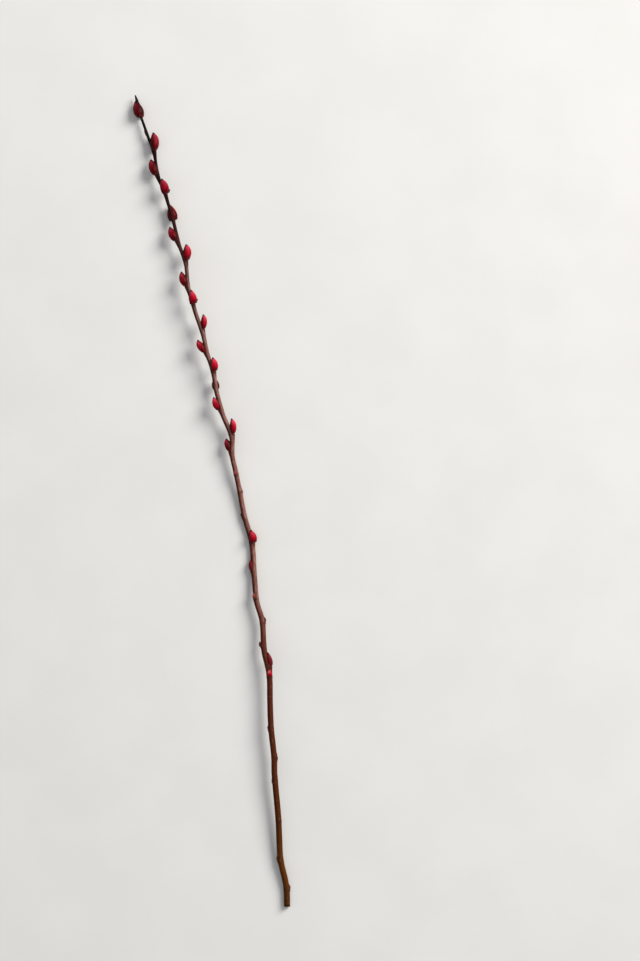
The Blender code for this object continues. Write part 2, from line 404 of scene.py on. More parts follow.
class NodeBench:
    """Puts nodes into one material or group, and joins them."""

    def __init__(self, tree: bpy.types.NodeTree) -> None:
        """Starts on an empty tree."""
        self.tree = tree
        tree.nodes.clear()

    def node(self, kind: str, inputs: dict[str, object] | tuple = (), **settings: object) -> bpy.types.Node:
        """A new node.

        Args:
            kind: Its Blender type.
            inputs: What feeds its inputs, by name, or in order from the first.
            settings: Its own properties, by name.

        Returns:
            The node.
        """
        made = self.tree.nodes.new(kind)
        for name, value in settings.items():
            setattr(made, name, value)
        for name, value in inputs.items() if isinstance(inputs, dict) else enumerate(inputs):
            self.feed(made.inputs[name], value)
        return made

    def feed(self, socket: Socket, value: object) -> None:
        """Joins an input to another node's output, or sets the input's own value."""
        if isinstance(value, Socket):
            self.tree.links.new(value, socket)
        elif socket.type == "RGBA":
            socket.default_value = (*value[:3], 1.0)
        else:
            socket.default_value = value

    def mask(self, name: str) -> Socket:
        """A number that the mesh keeps for each point."""
        return self.node("ShaderNodeAttribute", attribute_name=name).outputs["Fac"]

    def place(self, name: str) -> Socket:
        """A vector that the mesh keeps for each point."""
        return self.node("ShaderNodeAttribute", attribute_name=name).outputs["Vector"]

    def number(self, operation: str, *values: object) -> Socket:
        """Arithmetic on numbers, kept between 0 and 1."""
        return self.node("ShaderNodeMath", values, operation=operation, use_clamp=True).outputs["Value"]

    def times(self, first: object, second: object) -> Socket:
        """One number times another."""
        return self.number("MULTIPLY", first, second)

    def total(self, start: object, *shares: tuple[object, float]) -> Socket:
        """A number with shares of others added, each given as the number and its share."""
        for value, share in shares:
            start = self.number("ADD", start, self.times(value, share))
        return start

    def remap(self, value: object, low: float, high: float, to_low: float = 0.0,
              to_high: float = 1.0) -> Socket:
        """Runs a value smoothly from the range low to high to the range to_low to to_high."""
        ends = (value, low, high, to_low, to_high)
        return self.node("ShaderNodeMapRange", ends, interpolation_type="SMOOTHSTEP").outputs["Result"]

    def mix(self, share: object, under: object, over: object, blend: Blend = Blend.PLAIN) -> Socket:
        """Lays one colour over another.

        Args:
            share: How much of the upper colour.
            under: The lower colour.
            over: The upper colour.
            blend: How it is laid.

        Returns:
            The mixed colour's output.
        """
        made = self.node("ShaderNodeMix", {"Factor": share}, data_type="RGBA", blend_type=blend.value)
        colours = [socket for socket in made.inputs if socket.type == "RGBA"]
        self.feed(colours[0], under)
        self.feed(colours[1], over)
        return next(socket for socket in made.outputs if socket.type == "RGBA")

    def layers(self, colour: object, *layers: tuple) -> Socket:
        """Colours laid over a first one, each given as its share, itself and, unless plain, its blend."""
        for share, over, *blend in layers:
            colour = self.mix(share, colour, over, *blend)
        return colour

    def ramp(self, value: object, stops: tuple[tuple[float, Colour], ...]) -> Socket:
        """A run of colours.

        Args:
            value: The value that the run is read at.
            stops: Positions and colours, in order.

        Returns:
            The colour's output.
        """
        made = self.node("ShaderNodeValToRGB", (value,))
        made.color_ramp.interpolation = "B_SPLINE"
        elements = made.color_ramp.elements
        for position, _ in stops[2:]:
            elements.new(position)
        for element, (position, colour) in zip(elements, stops):
            element.position = position
            element.color = (*colour, 1.0)
        return made.outputs["Color"]

    def effect(self, group: bpy.types.NodeTree, **values: object) -> Socket:
        """A shared effect with this material's own values for its inputs."""
        return self.node("ShaderNodeGroup", values, node_tree=group, label=group.name).outputs[0]

    def bump(self, height: object, depth: float) -> Socket:
        """A surface normal from a height between 0 and 1, whose whole range is this deep."""
        fed = {"Strength": 1.0, "Distance": depth * MM, "Height": height}
        return self.node("ShaderNodeBump", fed).outputs["Normal"]

    def surface(self, **values: object) -> None:
        """A Principled shader on the material's surface, its inputs given by name with _ for each space."""
        fed = {name.replace("_", " "): value for name, value in values.items()}
        shader = self.node("ShaderNodeBsdfPrincipled", fed)
        self.node("ShaderNodeOutputMaterial", {"Surface": shader.outputs["BSDF"]})


def new_material(name: str) -> tuple[Material, NodeBench]:
    """An empty material and the bench to fill it at."""
    material = bpy.data.materials.new(name)
    material.use_nodes = True
    return material, NodeBench(material.node_tree)


class SharedEffects:
    """The effects that more than one finish uses, each built once as a node group."""

    def __init__(self) -> None:
        """Builds the three groups."""
        self.fibres = self._fibres()
        self.mottling = self._mottling()
        self.specks = self._specks()

    @staticmethod
    def _start(name: str, *numbers: str) -> tuple[NodeBench, bpy.types.NodeOutputs, Socket]:
        """Starts a group whose inputs are a place, the width and length of a cell, and some numbers.

        Args:
            name: The group's name.
            numbers: Its other number inputs.

        Returns:
            The group's bench, its inputs, and the place measured in cells.
        """
        group = bpy.data.node_groups.new(name, "ShaderNodeTree")
        group.interface.new_socket("Place", in_out="INPUT", socket_type="NodeSocketVector")
        for number in ("Width", "Length", *numbers):
            group.interface.new_socket(number, in_out="INPUT", socket_type="NodeSocketFloat")
        group.interface.new_socket("Mask", in_out="OUTPUT", socket_type="NodeSocketFloat")
        bench = NodeBench(group)
        given = bench.node("NodeGroupInput").outputs
        cell = bench.node("ShaderNodeCombineXYZ", (given["Width"], given["Width"], given["Length"]))
        parts = (given["Place"], cell.outputs["Vector"])
        return bench, given, bench.node("ShaderNodeVectorMath", parts, operation="DIVIDE").outputs["Vector"]

    @staticmethod
    def _end(bench: NodeBench, value: object) -> bpy.types.NodeTree:
        """Sends a value out of a group as its mask, and gives the group."""
        bench.node("NodeGroupOutput", {"Mask": value})
        return bench.tree

    def _fibres(self) -> bpy.types.NodeTree:
        """Long fine fibres that run with the grain."""
        bench, given, place = self._start("fibres", "Contrast")
        look = {"Vector": place, "Scale": 1.0, "Detail": 4.0, "Roughness": 0.62}
        noise = bench.node("ShaderNodeTexNoise", look).outputs["Fac"]
        centred = bench.node("ShaderNodeMath", (noise, 0.5), operation="SUBTRACT").outputs["Value"]
        return self._end(bench, bench.number("MULTIPLY_ADD", centred, given["Contrast"], 0.5))

    def _mottling(self) -> bpy.types.NodeTree:
        """Soft blotches, longer along the grain than across it."""
        bench, given, place = self._start("mottling", "Low", "High")
        noise = bench.node("ShaderNodeTexNoise", {"Vector": place, "Scale": 1.0, "Detail": 3.0})
        return self._end(bench, bench.remap(noise.outputs["Fac"], given["Low"], given["High"]))

    def _specks(self) -> bpy.types.NodeTree:
        """Small separate specks, in a share of the cells that the surface is divided into."""
        bench, given, place = self._start("specks", "Size", "Share")
        cells = bench.node("ShaderNodeTexVoronoi", {"Vector": place, "Scale": 1.0}).outputs
        draw = bench.node("ShaderNodeSeparateColor", {"Color": cells["Color"]})
        chosen = bench.number("LESS_THAN", draw.outputs["Red"], given["Share"])
        return self._end(bench, bench.times(chosen, bench.remap(cells["Distance"], given["Size"], 0.0)))


# Finishes

@dataclass(frozen=True)
class BarkFinish:
    """Young willow bark: olive brown at the foot, reddish, then purplish brown, near black at the tip, which
    is partly painted shade, with painted light, sheen and shade on its sides.
    """

    # Shares of the stem's length and colours. The first two are the dark edge of the cut. The darkening
    # towards the tip is partly the young bark's own colour and partly painted shade
    run: tuple[tuple[float, Colour], ...] = (
        (0.0, (0.022, 0.004, 0.001)),
        (0.0011, (0.026, 0.005, 0.001)),
        (0.0019, (0.082, 0.024, 0.003)),
        (0.05, (0.112, 0.037, 0.004)),
        (0.1, (0.084, 0.021, 0.003)),
        (0.18, (0.080, 0.018, 0.006)),
        (0.28, (0.086, 0.019, 0.010)),
        (0.4, (0.146, 0.034, 0.020)),
        (0.58, (0.150, 0.050, 0.036)),
        (0.67, (0.125, 0.040, 0.030)),
        (0.75, (0.085, 0.026, 0.020)),
        (0.81, (0.080, 0.028, 0.023)),
        (0.835, (0.048, 0.014, 0.010)),
        (0.88, (0.018, 0.004, 0.002)),
        (1.0, (0.005, 0.001, 0.001)),
    )
    grain: Colour = (0.42, 0.34, 0.32)
    blotch: Colour = (1.35, 1.18, 1.05)
    # A pale waxy bloom, laid only on the side towards the light: partly the bark's own bloom, partly painted
    # sheen
    bloom_and_painted_sheen: Colour = (0.380, 0.215, 0.185)
    # Painted shade: a tint for the side of the stem away from the light
    shaded: Colour = (0.42, 0.26, 0.19)
    lenticel: Colour = (0.300, 0.170, 0.105)
    cushion: Colour = (0.095, 0.020, 0.014)
    scar: Colour = (0.030, 0.013, 0.009)
    inner_bark: Colour = (0.150, 0.098, 0.036)
    relief_depth: float = 0.07

    def material(self, effects: SharedEffects) -> Material:
        """The bark's material."""
        material, bench = new_material("young willow bark")
        place = bench.place("stem_place")
        run, painted_light, cushion, scar, rim = (bench.mask(name) for name in ("run", "painted_light", "cushion", "scar", "rim"))
        fibres = bench.effect(effects.fibres, Place=place, Width=0.34, Length=13.0, Contrast=2.6)
        fine = bench.effect(effects.mottling, Place=place, Width=1.5, Length=7.0, Low=0.42, High=0.66)
        broad = bench.effect(effects.mottling, Place=place, Width=16.0, Length=46.0, Low=0.36, High=0.64)
        lenticels = bench.effect(effects.specks, Place=place, Width=1.6, Length=2.6, Size=0.33, Share=0.2)
        bloom_run = bench.times(bench.remap(run, 0.3, 0.42), bench.remap(run, 0.78, 0.84, 1.0, 0.0))
        # Partly the bark's own bloom and partly painted sheen, laid on the side towards the light and left
        # off the cushions
        bloom_and_painted_sheen = bench.times(bench.times(bloom_run, painted_light), bench.remap(fine, 0.0, 1.0, 0.2, 0.6))
        bloom_and_painted_sheen = bench.times(bloom_and_painted_sheen, bench.remap(cushion, 0.1, 0.7, 1.0, 0.2))
        # Painted shade on the side of the stem away from the light, stronger along the middle of the stem
        away_from_light = bench.remap(painted_light, 0.0, 1.0, 1.0, 0.0)
        in_shade = bench.times(away_from_light, bench.remap(bloom_run, 0.0, 1.0, 0.35, 0.85))
        colour = bench.layers(
            bench.ramp(run, self.run),
            (bench.times(broad, 0.55), self.blotch, Blend.TINT),
            (bench.times(fibres, 0.5), self.grain, Blend.TINT),
            (in_shade, self.shaded, Blend.TINT),
            (bloom_and_painted_sheen, self.bloom_and_painted_sheen),
            (bench.times(cushion, 0.34), self.cushion),
            (bench.times(lenticels, bench.remap(run, 0.55, 0.95, 0.85, 0.25)), self.lenticel),
            (bench.times(scar, 0.85), self.scar),
            (bench.times(rim, 0.9), self.inner_bark),
        )
        height = bench.total(bench.times(fibres, 0.42), (fine, 0.16), (lenticels, 0.42))
        bench.surface(
            Base_Color=colour,
            Roughness=bench.total(bench.remap(fibres, 0.0, 1.0, 0.46, 0.6), (scar, 0.2), (rim, 0.25)),
            Normal=bench.bump(height, self.relief_depth),
            Specular_IOR_Level=0.05,
        )
        return material


@dataclass(frozen=True)
class BudScaleFinish:
    """Waxy red bud scales, deeper at their edges, partly their own colour and partly painted shade, with
    painted light and shade by the way they face the light, a painted highlight near the top, and a dark brown
    beak.
    """

    run: tuple[tuple[float, Colour], ...] = (
        (0.0, (0.060, 0.0005, 0.002)),
        (0.3, (0.160, 0.0006, 0.004)),
        (0.65, (0.350, 0.001, 0.010)),
        (1.0, (0.560, 0.003, 0.024)),
    )
    # Painted highlight: a pinkish patch near the top, on the side towards the light
    painted_highlight: Colour = (0.680, 0.055, 0.090)
    vein: Colour = (0.52, 0.34, 0.40)
    dull: Colour = (0.120, 0.010, 0.012)
    # Painted highlight on the swollen red bud
    pale: Colour = (0.720, 0.240, 0.230)
    foot: Colour = (0.085, 0.006, 0.007)
    beak: Colour = (0.020, 0.006, 0.004)
    # Near black laid by each bud's tone: partly painted shade, partly the darker young buds near the tip
    shade: Colour = (0.010, 0.001, 0.001)
    fleck: Colour = (0.090, 0.020, 0.014)
    relief_depth: float = 0.05

    def material(self, effects: SharedEffects) -> Material:
        """The red scales' material."""
        material, bench = new_material("waxy red bud scale")
        place = bench.place("scale_place")
        dull, beak = bench.mask("dull"), bench.mask("beak")
        veins = bench.effect(effects.fibres, Place=place, Width=0.5, Length=8.0, Contrast=3.0)
        blotches = bench.effect(effects.mottling, Place=place, Width=2.2, Length=4.6, Low=0.4, High=0.62)
        flecks = bench.effect(effects.specks, Place=place, Width=0.9, Length=1.3, Size=0.3, Share=0.16)
        face = bench.number("ADD", bench.mask("face"), bench.remap(blotches, 0.0, 1.0, -0.12, 0.14))
        ragged = bench.number("ADD", beak, bench.remap(veins, 0.0, 1.0, -0.16, 0.16))
        brown_tip = bench.remap(ragged, 0.2, 0.6)
        colour = bench.layers(
            bench.ramp(face, self.run),
            (bench.times(veins, 0.42), self.vein, Blend.TINT),
            (bench.times(bench.mask("painted_highlight"), 0.75), self.painted_highlight),
            (bench.times(dull, 0.8), self.dull),
            (bench.times(bench.mask("pale"), bench.remap(blotches, 0.2, 0.9, 0.25, 0.9)), self.pale),
            (bench.mask("shade"), self.shade),
            (bench.times(flecks, bench.remap(beak, 0.0, 0.5, 0.25, 0.9)), self.fleck),
            (bench.times(bench.mask("foot"), 0.8), self.foot),
            (brown_tip, self.beak),
        )
        height = bench.total(bench.times(veins, 0.5), (blotches, 0.3), (flecks, 0.2))
        waxy = bench.remap(blotches, 0.0, 1.0, 0.34, 0.46)
        bench.surface(
            Base_Color=colour,
            Roughness=bench.total(waxy, (dull, 0.16), (brown_tip, 0.2)),
            Normal=bench.bump(height, self.relief_depth),
            Specular_IOR_Level=0.06,
        )
        return material


@dataclass(frozen=True)
class DormantBudFinish:
    """Shut scales of the bark's colour, darker at the tip, some with a fresh pink break."""

    run: tuple[tuple[float, Colour], ...] = (
        (0.0, (0.115, 0.038, 0.014)),
        (0.35, (0.100, 0.024, 0.014)),
        (0.6, (0.092, 0.026, 0.020)),
        (1.0, (0.030, 0.009, 0.008)),
    )
    grain: Colour = (0.45, 0.36, 0.34)
    tip: Colour = (0.018, 0.008, 0.006)
    foot: Colour = (0.034, 0.012, 0.009)
    pink: Colour = (0.640, 0.105, 0.100)
    relief_depth: float = 0.06

    def material(self, effects: SharedEffects) -> Material:
        """The dormant buds' material."""
        material, bench = new_material("dormant bud scale")
        place = bench.place("scale_place")
        grain = bench.effect(effects.fibres, Place=place, Width=0.3, Length=3.2, Contrast=3.0)
        blotches = bench.effect(effects.mottling, Place=place, Width=0.9, Length=1.3, Low=0.42, High=0.58)
        flecks = bench.effect(effects.specks, Place=place, Width=0.7, Length=0.9, Size=0.3, Share=0.2)
        colour = bench.layers(
            bench.ramp(bench.mask("run"), self.run),
            (bench.times(grain, 0.6), self.grain, Blend.TINT),
            (bench.times(bench.mask("foot"), 0.7), self.foot),
            (bench.remap(bench.mask("beak"), 0.1, 0.8, 0.0, 0.85), self.tip),
            (bench.times(bench.mask("pale"), bench.remap(blotches, 0.0, 1.0, 0.35, 1.0)), self.pink),
        )
        bench.surface(
            Base_Color=colour,
            Roughness=bench.remap(blotches, 0.0, 1.0, 0.42, 0.58),
            Normal=bench.bump(bench.total(bench.times(grain, 0.6), (flecks, 0.3)), self.relief_depth),
            Specular_IOR_Level=0.08,
        )
        return material


@dataclass(frozen=True)
class CutWoodFinish:
    """Pale willow wood, cut across: fine rays, one year's ring and a soft brown pith."""

    run: tuple[tuple[float, Colour], ...] = (
        (0.0, (0.270, 0.150, 0.070)),
        (0.24, (0.330, 0.200, 0.100)),
        (0.32, (0.610, 0.470, 0.280)),
        (0.6, (0.640, 0.500, 0.305)),
        (0.66, (0.480, 0.340, 0.190)),
        (0.72, (0.630, 0.490, 0.300)),
        (0.92, (0.560, 0.440, 0.240)),
        (1.0, (0.250, 0.200, 0.080)),
    )
    ray: Colour = (0.62, 0.54, 0.44)
    stain: Colour = (0.230, 0.150, 0.080)
    relief_depth: float = 0.06

    def material(self, effects: SharedEffects) -> Material:
        """The cut face's material."""
        material, bench = new_material("cut willow wood")
        place = bench.place("ray_place")
        rays = bench.effect(effects.fibres, Place=place, Width=0.07, Length=1.6, Contrast=3.0)
        stains = bench.effect(effects.mottling, Place=place, Width=0.9, Length=1.4, Low=0.52, High=0.72)
        pores = bench.effect(effects.specks, Place=place, Width=0.05, Length=0.3, Size=0.45, Share=0.4)
        colour = bench.layers(
            bench.ramp(bench.mask("run"), self.run),
            (bench.times(rays, 0.5), self.ray, Blend.TINT),
            (bench.times(pores, 0.35), self.stain),
            (bench.times(stains, 0.45), self.stain),
        )
        bench.surface(
            Base_Color=colour,
            Roughness=bench.remap(rays, 0.0, 1.0, 0.66, 0.82),
            Normal=bench.bump(bench.total(bench.times(rays, 0.6), (pores, 0.3)), self.relief_depth),
        )
        return material


@dataclass(frozen=True)
class DryTipFinish:
    """The shrivelled end of the shoot, nearly black."""

    dark: Colour = (0.011, 0.006, 0.005)
    brown: Colour = (0.052, 0.021, 0.014)
    relief_depth: float = 0.08

    def material(self, effects: SharedEffects) -> Material:
        """The dry tip's material."""
        material, bench = new_material("dry shoot end")
        place = bench.place("stem_place")
        fibres = bench.effect(effects.fibres, Place=place, Width=0.3, Length=5.0, Contrast=3.0)
        worn = bench.effect(effects.mottling, Place=place, Width=0.9, Length=3.0, Low=0.46, High=0.66)
        bench.surface(
            Base_Color=bench.layers(
                self.dark, (bench.times(worn, 0.7), self.brown), (bench.times(fibres, 0.5), self.dark)
            ),
            Roughness=bench.remap(fibres, 0.0, 1.0, 0.5, 0.72),
            Normal=bench.bump(fibres, self.relief_depth),
            Specular_IOR_Level=0.08,
        )
        return material


@dataclass(frozen=True)
class FloorFinish:
    """Smooth off-white card."""

    card: Colour = (0.812, 0.801, 0.770)
    # A slightly darker tone of the card, laid in broad random blotches
    darker_card: Colour = (0.787, 0.774, 0.740)
    relief_depth: float = 0.02

    def material(self, effects: SharedEffects) -> Material:
        """The floor's material."""
        material, bench = new_material("off-white card")
        position = bench.node("ShaderNodeTexCoord").outputs["Object"]
        in_mm = {"Vector": position, "Scale": 1.0 / MM}
        place = bench.node("ShaderNodeVectorMath", in_mm, operation="SCALE").outputs["Vector"]
        broad = bench.effect(effects.mottling, Place=place, Width=90.0, Length=90.0, Low=0.3, High=0.7)
        tooth = bench.effect(effects.mottling, Place=place, Width=0.9, Length=0.9, Low=0.3, High=0.7)
        bench.surface(
            Base_Color=bench.mix(broad, self.card, self.darker_card),
            Roughness=bench.remap(tooth, 0.0, 1.0, 0.78, 0.9),
            Normal=bench.bump(tooth, self.relief_depth),
        )
        return material


# Sub-assemblies

@dataclass(frozen=True)
class BarkSkin:
    """The bark: one skin over the stem, raised under each bud, with leaf scars, wrinkles and a cut rim."""

    line: StemLine
    sides: int = 48
    # How far apart the rings are, and how near a bud they are closer, in shares of the bud's length
    even_step: float = 0.78
    node_step: float = 0.42
    node_below: float = 0.6
    node_above: float = 0.42
    # The cushion's height, reach below and reach above are shares of the bud's length
    cushion_height: float = 0.11
    cushion_below: float = 0.42
    cushion_above: float = 0.3
    cushion_spread: float = 48.0
    # The leaf scar lies below the bud's foot by a gap and a share of the bud's length
    scar_drop: float = 0.08
    scar_gap: float = 0.9
    scar_curl: float = 1.3
    scar_spread: float = 72.0
    scar_taper: Pair = (60.0, 78.0)
    scar_width: float = 0.5
    scar_height: float = 0.2
    # Two small scars of leaf stalks beside it
    stipule_turn: float = 84.0
    stipule_spread: float = 11.0
    stipule_rise: float = 1.5
    stipule_length: float = 0.7
    stipule_height: float = 0.16
    ring_swelling: float = 0.1
    ring_reach: float = 3.2
    # How many go round, how high they are, and how far along one wave runs
    wrinkles: tuple[tuple[int, float, float], ...] = ((4, 0.045, 61.0), (7, 0.04, 37.0), (12, 0.03, 23.0))
    wrinkle_swing: float = 1.6
    wrinkle_creep: float = 3.1
    wrinkle_fade: float = 0.35
    fade_run: float = 0.37
    lump_height: float = 0.055
    lump_count: int = 9
    lump_lengths: Pair = (2.2, 11.0)
    # Lumps have fewer waves round the stem than this
    lump_turns: int = 3
    seed: int = 11
    # Which way the side towards the light faces, and how its mask rises towards it: light and shade painted
    # into the bark's colour
    painted_light_side: float = 30.0
    painted_light_run: Pair = (-0.1, 0.85)
    # The cut rim's depth where its mask starts and is full, then how far along and how far in the rim is
    rim_run: Pair = (0.03, 0.3)
    rim: tuple[Pair, ...] = (
        (1.4, 0.62), (0.4, 0.61), (0.06, 0.55), (0.0, 0.4), (0.03, 0.2), (0.13, 0.06), (0.32, 0.0),
    )

    def places(self) -> Array:
        """Where the rings past the rim are, closer together at each bud."""
        spans = [
            (bud.along - self.node_below * bud.length, bud.along + self.node_above * bud.length)
            for bud in SEATED_BUDS
        ]
        kept = []
        place = self.rim[-1][0] + self.node_step
        while place < self.line.length:
            kept.append(place)
            is_near = any(low < place < high for low, high in spans)
            place += self.node_step if is_near else self.even_step
        return np.array([*kept, self.line.length])

    def relief(self, along: Array, around: Array) -> tuple[Array, Array, Array]:
        """How the bark stands out from the plain round stem.

        Args:
            along: Places along the stem, in a column.
            around: Places around it, in a row.

        Returns:
            The height of the relief, how much each place is cushion, and how much it is leaf scar.
        """
        height = np.zeros(np.broadcast_shapes(along.shape, around.shape))
        cushion = np.zeros_like(height)
        scars = np.zeros_like(height)
        for bud in SEATED_BUDS:
            distance = along - bud.along
            turn = turn_from(bud.around, around)
            reach = bud.length * np.where(distance < 0.0, self.cushion_below, self.cushion_above)
            lobe = hump(turn, 0.0, self.cushion_spread) * hump(distance, 0.0, reach)
            level = -(self.scar_drop * bud.length + self.scar_gap)
            crescent = level + self.scar_curl * (turn / self.scar_spread) ** 2
            scar = hump(distance, crescent, self.scar_width) * (1.0 - rise(*self.scar_taper, np.abs(turn)))
            stipules = hump(np.abs(turn), self.stipule_turn, self.stipule_spread)
            stipules = stipules * hump(distance, level + self.stipule_rise, self.stipule_length)
            height += self.cushion_height * bud.length * lobe
            height += self.scar_height * scar + self.stipule_height * stipules
            height += self.ring_swelling * hump(distance, 0.0, self.ring_reach)
            cushion = np.maximum(cushion, lobe)
            scars = np.maximum(scars, scar)
        return height + self.unevenness(along, around), cushion, scars

    def unevenness(self, along: Array, around: Array) -> Array:
        """The height of the lengthwise wrinkles and low lumps.

        Args:
            along: Places along the stem, in a column.
            around: Places around it, in a row.

        Returns:
            Their height at each place.
        """
        draw = np.random.default_rng(self.seed)
        radians = np.radians(around)
        uneven = np.zeros(np.broadcast_shapes(along.shape, around.shape))
        for count, height, wavelength in self.wrinkles:
            drift = self.wrinkle_swing * np.sin(along / wavelength + draw.uniform(0.0, PHASES))
            drift = drift + along / (self.wrinkle_creep * wavelength)
            fade = np.sin(along / (self.fade_run * wavelength) + draw.uniform(0.0, PHASES))
            strength = 1.0 - self.wrinkle_fade + self.wrinkle_fade * fade
            uneven += height * strength * np.sin(count * radians + drift)
        for _ in range(self.lump_count):
            count = draw.integers(0, self.lump_turns)
            wavelength = draw.uniform(*self.lump_lengths)
            turn = draw.uniform(0.0, PHASES)
            wave = np.sin(along / wavelength + draw.uniform(0.0, PHASES)) * np.cos(count * radians + turn)
            uneven += self.lump_height / math.sqrt(self.lump_count) * wave
        slimness = self.line.radius(along) / self.line.radius(0.0)
        return uneven * slimness

    def build(self, material: Material) -> Piece:
        """Makes the bark.

        Args:
            material: Its finish.

        Returns:
            The piece, which stands for the CAD twig.
        """
        rim_along, rim_inset = np.array(self.rim).T
        places = self.places()
        along = np.concatenate((rim_along, places))[:, None]
        inset = np.concatenate((rim_inset, np.zeros_like(places)))[:, None]
        around = round_way(self.sides)
        height, cushion, scars = self.relief(along, around)
        radius = self.line.radius(along) + height - inset
        across, above = radius * cosine(around), radius * sine(around)
        right, forward, up = self.line.frames(along[:, 0])
        lean = self.line.lean(along, above)
        points = swept(self.line.middle(along[:, 0]), (right, across), (up, above), (forward, lean))
        masks = {
            "stem_place": together(across, above, along),
            "run": along / self.line.length,
            "cushion": cushion,
            "scar": scars,
            "rim": rise(*self.rim_run, inset),
            # The side towards the light, where light and shade are painted into the bark's colour
            "painted_light": rise(*self.painted_light_run, cosine(turn_from(self.painted_light_side, around))),
        }
        bark = dress(closed_tube("bark", self.line.placed(points), masks, sharp=60.0), material)
        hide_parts(TWIG_NODE)
        return bark


@dataclass(frozen=True)
class BudShape:
    """The shape of one kind of bud: a hood, broad near its foot, with corners at its sides and a small beak.

    Sizes are shares of the bud's length, except where they are turns around it.
    """

    line: StemLine
    name: str
    slot: str
    sides: int = 44
    foot_rings: int = 12
    body_rings: int = 22
    beak_rings: int = 12
    foot_end: float = -0.05
    foot_top: float = 0.08
    beak_start: float = 0.8
    width: float = 0.58
    thickness: float = 0.56
    # The foot's middle stands this far past the stem's face, in millimetres, or as far as the bud's if less
    foot_extra: float = 0.6
    stand_off_curve: float = 1.35
    keel_height: float = 0.05
    keel_spread: float = 15.0
    crest_height: float = 0.022
    crest_spread: float = 13.0
    ear_height: float = 0.1
    ear_spread: float = 24.0
    ear_place: float = 0.02
    ear_reach: float = 0.045
    ear_droop: float = 0.035
    droop_reach: float = 0.05
    corner_spread: float = 22.0
    corner_reach: float = 0.07
    hook: float = 0.008
    hook_run: Pair = (0.8, 1.05)
    pleats: int = 9
    pleat_height: float = 0.016
    pleat_twist: float = 2.0
    # Pleats are gathered at the foot, and more so at the beak
    foot_gather: Pair = (0.02, 0.34)
    beak_gather: Pair = (0.74, 0.96)
    beak_gain: float = 1.6
    dent_height: float = 0.018
    dent_waves: float = 2.6
    dent_run: Pair = (0.1, 0.3)
    lean_share: float = 0.022
    lean_run: Pair = (0.3, 1.0)
    # Where a bud is pale: the pink break of a rubbed dormant bud, and a painted highlight on the swollen red
    # bud
    pale_patch_side: float = 122.0
    pale_patch_spread: float = 30.0
    pale_patch_place: float = 0.6
    pale_patch_reach: float = 0.14
    # The way to the light: the scale's colour is painted lighter on the side that faces it and darker on the
    # side away from it, as painted light and shade
    painted_light: tuple[float, float, float] = (0.4, 0.2, 0.9)
    width_run: SmoothCurve = SmoothCurve((
        (-0.05, 0.26), (-0.03, 0.54), (0.0, 0.75), (0.08, 0.9), (0.2, 1.0), (0.35, 0.99), (0.5, 0.9),
        (0.64, 0.74), (0.76, 0.56), (0.86, 0.37), (0.93, 0.21), (1.0, 0.05),
    ))
    thickness_run: SmoothCurve = SmoothCurve((
        (-0.05, 0.22), (-0.03, 0.42), (0.0, 0.59), (0.09, 0.78), (0.2, 0.93), (0.34, 1.0), (0.46, 0.97),
        (0.6, 0.87), (0.73, 0.68), (0.84, 0.46), (0.92, 0.26), (1.0, 0.05),
    ))

    def shares(self) -> Array:
        """Where the rings are, closer together at the foot and the beak."""
        foot = np.linspace(self.foot_end, self.foot_top, self.foot_rings, endpoint=False)
        body = np.linspace(self.foot_top, self.beak_start, self.body_rings, endpoint=False)
        beak = np.linspace(self.beak_start, 1.0, self.beak_rings)
        return np.concatenate((foot, body, beak))[:, None]

    def swell(self, bud: Bud, share: Array, angle: Array, draw: np.random.Generator) -> Array:
        """How the scale stands out from its plain section: keels, crest, ears, pleats and shallow dents.

        Args:
            bud: The bud.
            share: Places along it, in a column.
            angle: Places around it, in a row, with 0 and 180 at its sides and 90 outside.
            draw: This bud's own random numbers.

        Returns:
            What the section is multiplied by at each place.
        """
        body = np.sqrt(np.maximum(np.sin(math.pi * np.clip(share, 0.0, 1.0)), 0.0))
        keels, ears = (
            hump(turn_from(0.0, angle), 0.0, spread) + hump(turn_from(180.0, angle), 0.0, spread)
            for spread in (self.keel_spread, self.ear_spread)
        )
        crest = hump(turn_from(90.0, angle), 0.0, self.crest_spread)
        pleat = np.sin(np.radians(self.pleats * angle) + draw.uniform(0.0, PHASES) + self.pleat_twist * share)
        gathered = 1.0 - rise(*self.foot_gather, share) + self.beak_gain * rise(*self.beak_gather, share)
        dent = np.sin(np.radians(2.0 * angle) + draw.uniform(0.0, PHASES))
        dent = dent * np.sin(self.dent_waves * math.pi * share + draw.uniform(0.0, PHASES))
        swell = (
            1.0
            + self.keel_height * keels * body
            + self.crest_height * crest * body
            + self.ear_height * ears * hump(share, self.ear_place, self.ear_reach)
            + self.pleat_height * pleat * gathered
            + self.dent_height * dent * rise(*self.dent_run, share)
        )
        for side, at, height in bud.ears:
            corner = height * hump(turn_from(90.0 - 90.0 * side, angle), 0.0, self.corner_spread)
            swell = swell + corner * hump(share, at, self.corner_reach)
        return swell

    def ways(self, bud: Bud, places: Array) -> tuple[Array, Array, Array]:
        """The bud's own outward, sideways and forward directions at places along the stem."""
        right, forward, up = self.line.frames(np.minimum(places, self.line.length))
        turn = math.radians(bud.around)
        out = right * math.cos(turn) + up * math.sin(turn)
        return out, np.cross(forward, out), forward

